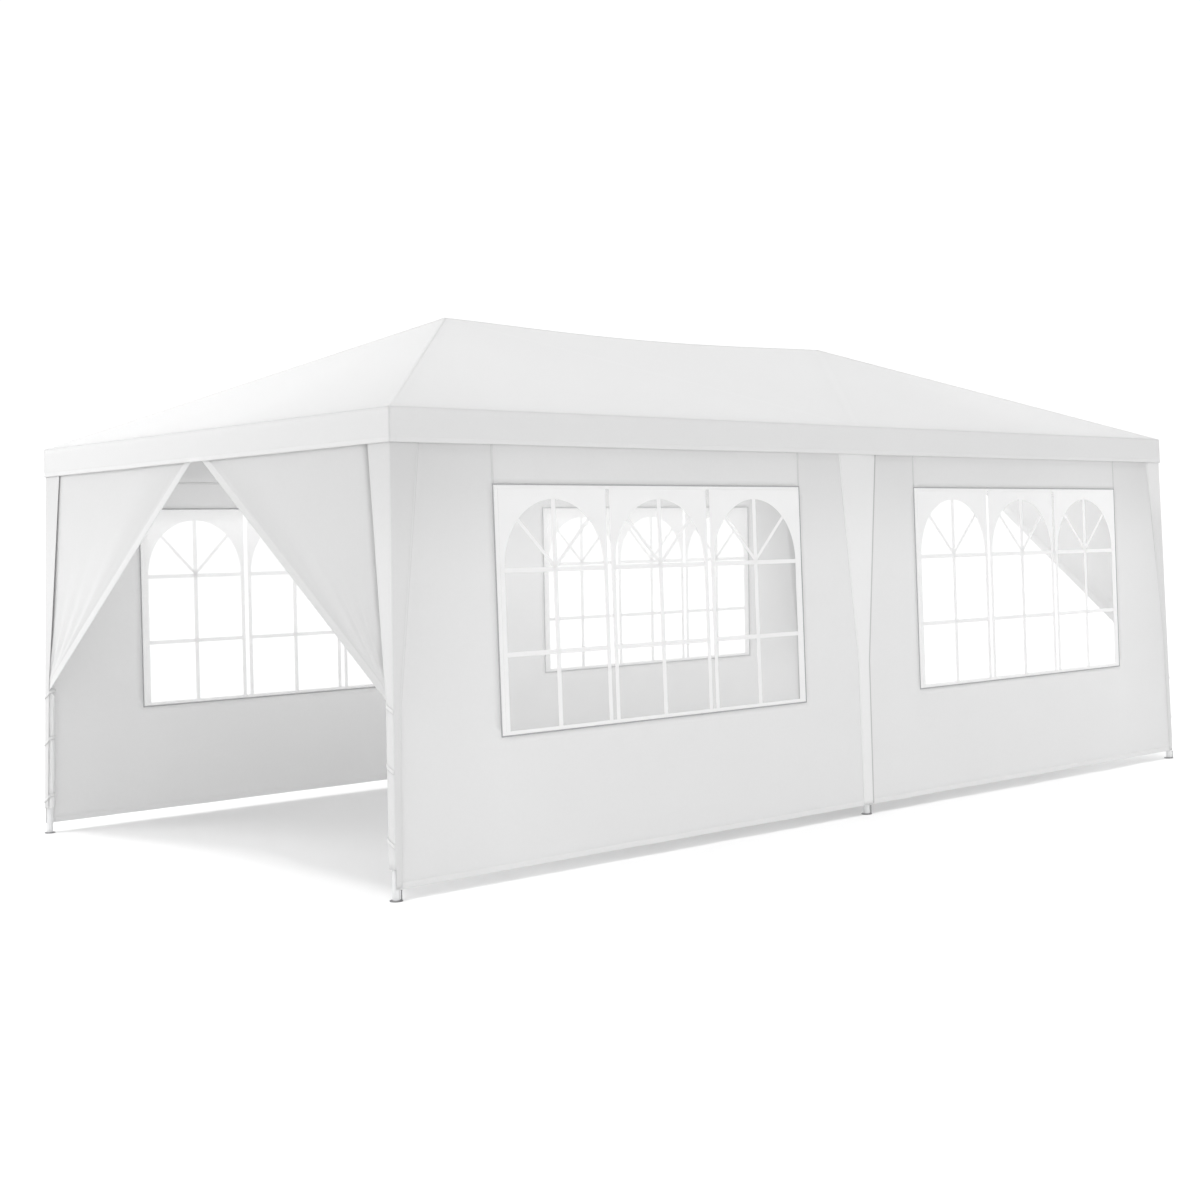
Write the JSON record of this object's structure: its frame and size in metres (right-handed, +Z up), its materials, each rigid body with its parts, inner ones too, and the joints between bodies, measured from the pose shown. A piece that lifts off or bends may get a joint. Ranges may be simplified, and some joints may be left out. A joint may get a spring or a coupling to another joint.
{
  "type": "marquee tent",
  "caption": "White party marquee with a hipped cloth roof on two crowns, a hanging valance, arched-window side walls and open doorways with tied-back curtains.",
  "frame": {"origin": "on the ground at the middle of the tent's plan", "axes": "+X along the long side, +Y from the front window walls to the back ones, +Z up; the doorways are at the two X ends"},
  "size_m": [6.1332, 3.0632, 2.6332],
  "materials": {
    "frame_paint": "white powder coat",
    "foot_steel": "dull zinc",
    "roof_cloth": "coated woven sheet",
    "wall_cloth": "coated woven sheet",
    "window_film": "clear film",
    "window_print": "white print on the film",
    "edge_tape": "grey binding"
  },
  "bodies": {
    "root": {"leg_front_left": "frame_paint", "leg_front_middle": "frame_paint", "leg_front_right": "frame_paint", "leg_back_left": "frame_paint", "leg_back_middle": "frame_paint", "leg_back_right": "frame_paint", "connector_front_left": "frame_paint", "connector_front_middle": "frame_paint", "connector_front_right": "frame_paint", "connector_back_left": "frame_paint", "connector_back_middle": "frame_paint", "connector_back_right": "frame_paint", "crown_left": "frame_paint", "crown_right": "frame_paint", "eave_beam_front_left": "frame_paint", "eave_beam_front_right": "frame_paint", "eave_beam_back_left": "frame_paint", "eave_beam_back_right": "frame_paint", "eave_beam_end_left": "frame_paint", "eave_beam_end_right": "frame_paint", "rafter_left_front_corner": "frame_paint", "rafter_left_front_middle": "frame_paint", "rafter_left_back_corner": "frame_paint", "rafter_left_back_middle": "frame_paint", "rafter_right_front_corner": "frame_paint", "rafter_right_front_middle": "frame_paint", "rafter_right_back_corner": "frame_paint", "rafter_right_back_middle": "frame_paint", "roof_slope_front": "roof_cloth", "roof_slope_back": "roof_cloth", "roof_slope_left": "roof_cloth", "roof_slope_right": "roof_cloth", "valance_front": "roof_cloth", "valance_back": "roof_cloth", "valance_left": "roof_cloth", "valance_right": "roof_cloth", "wall_front_left": "wall_cloth", "wall_front_right": "wall_cloth", "wall_back_left": "wall_cloth", "wall_back_right": "wall_cloth", "window_film_front_left": "window_film", "window_film_front_right": "window_film", "window_film_back_left": "window_film", "window_film_back_right": "window_film", "curtain_left_front": "wall_cloth", "curtain_left_back": "wall_cloth", "curtain_right_front": "wall_cloth", "curtain_right_back": "wall_cloth", "leg_flap_front_left": "roof_cloth", "leg_flap_front_middle": "roof_cloth", "leg_flap_front_right": "roof_cloth", "leg_flap_back_left": "roof_cloth", "leg_flap_back_middle": "roof_cloth", "leg_flap_back_right": "roof_cloth"}
  },
  "joints": []
}
